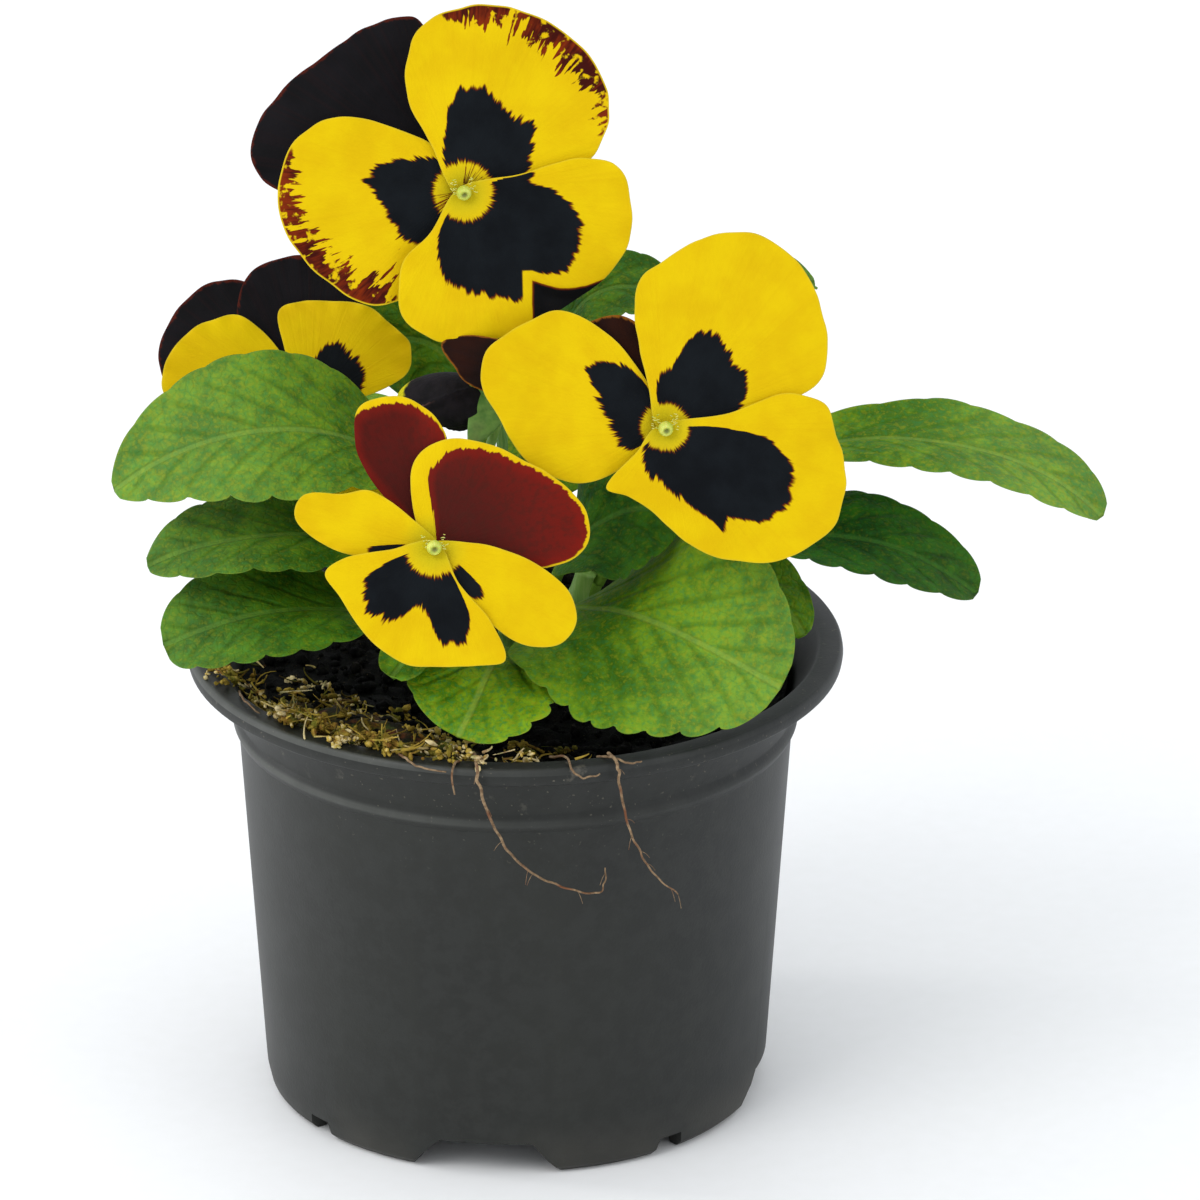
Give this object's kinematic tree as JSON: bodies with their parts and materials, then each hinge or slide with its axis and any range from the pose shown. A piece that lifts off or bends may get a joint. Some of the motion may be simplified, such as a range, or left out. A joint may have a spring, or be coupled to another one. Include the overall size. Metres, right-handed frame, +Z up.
{
  "type": "potted pansy planter",
  "caption": "Flowering pansy in a round black nursery pot: yellow faces with dark blotches, toothed leaves, a nodding bud, compost, moss and loose roots.",
  "frame": {"origin": "middle of the pot's underside, on the surface the pot stands on", "axes": "+Z up along the pot's axis; the flowers face -Y; +X is to the right as the flowers are looked at"},
  "size_m": [0.179, 0.1246, 0.2126],
  "materials": {
    "pot_plastic": "satin",
    "compost": "matte",
    "moss": "matte",
    "root": "matte",
    "leaf": "satin",
    "stem": "satin",
    "yellow_petal": "matte",
    "dark_petal": "matte",
    "maroon_petal": "matte"
  },
  "bodies": {
    "root": {"bud_calyx": "stem", "bud_petals": "dark_petal", "bud_stalk": "stem", "compost": "compost", "leaf_back_high": "leaf", "leaf_back_left": "leaf", "leaf_back_middle": "leaf", "leaf_back_peak": "leaf", "leaf_back_right": "leaf", "leaf_front_left": "leaf", "leaf_front_round": "leaf", "leaf_front_small": "leaf", "leaf_inner_right": "leaf", "leaf_left_high": "leaf", "leaf_left_low": "leaf", "leaf_left_middle": "leaf", "leaf_right_high": "leaf", "leaf_right_long": "leaf", "leaf_right_low": "leaf", "leaf_right_small": "leaf", "left_flower_calyx": "stem", "left_flower_lateral_left": "yellow_petal", "left_flower_lateral_right": "yellow_petal", "left_flower_lip": "yellow_petal", "left_flower_stalk": "stem", "left_flower_stigma": "stem", "left_flower_upper_left": "dark_petal", "left_flower_upper_right": "dark_petal", "low_flower_calyx": "stem", "low_flower_lateral_left": "yellow_petal", "low_flower_lateral_right": "yellow_petal", "low_flower_lip": "yellow_petal", "low_flower_stalk": "stem", "low_flower_stigma": "stem", "low_flower_upper_left": "maroon_petal", "low_flower_upper_right": "maroon_petal", "moss": "moss", "pot": "pot_plastic", "right_flower_calyx": "stem", "right_flower_lateral_left": "yellow_petal", "right_flower_lateral_right": "yellow_petal", "right_flower_lip": "yellow_petal", "right_flower_stalk": "stem", "right_flower_stigma": "stem", "right_flower_upper_left": "maroon_petal", "right_flower_upper_right": "maroon_petal", "root_left": "root", "root_right": "root", "shoot_back": "stem", "shoot_front": "stem", "shoot_left": "stem", "shoot_right": "stem", "top_flower_calyx": "stem", "top_flower_lateral_left": "yellow_petal", "top_flower_lateral_right": "yellow_petal", "top_flower_lip": "yellow_petal", "top_flower_stalk": "stem", "top_flower_stigma": "stem", "top_flower_upper_left": "dark_petal", "top_flower_upper_right": "dark_petal"}
  },
  "joints": []
}
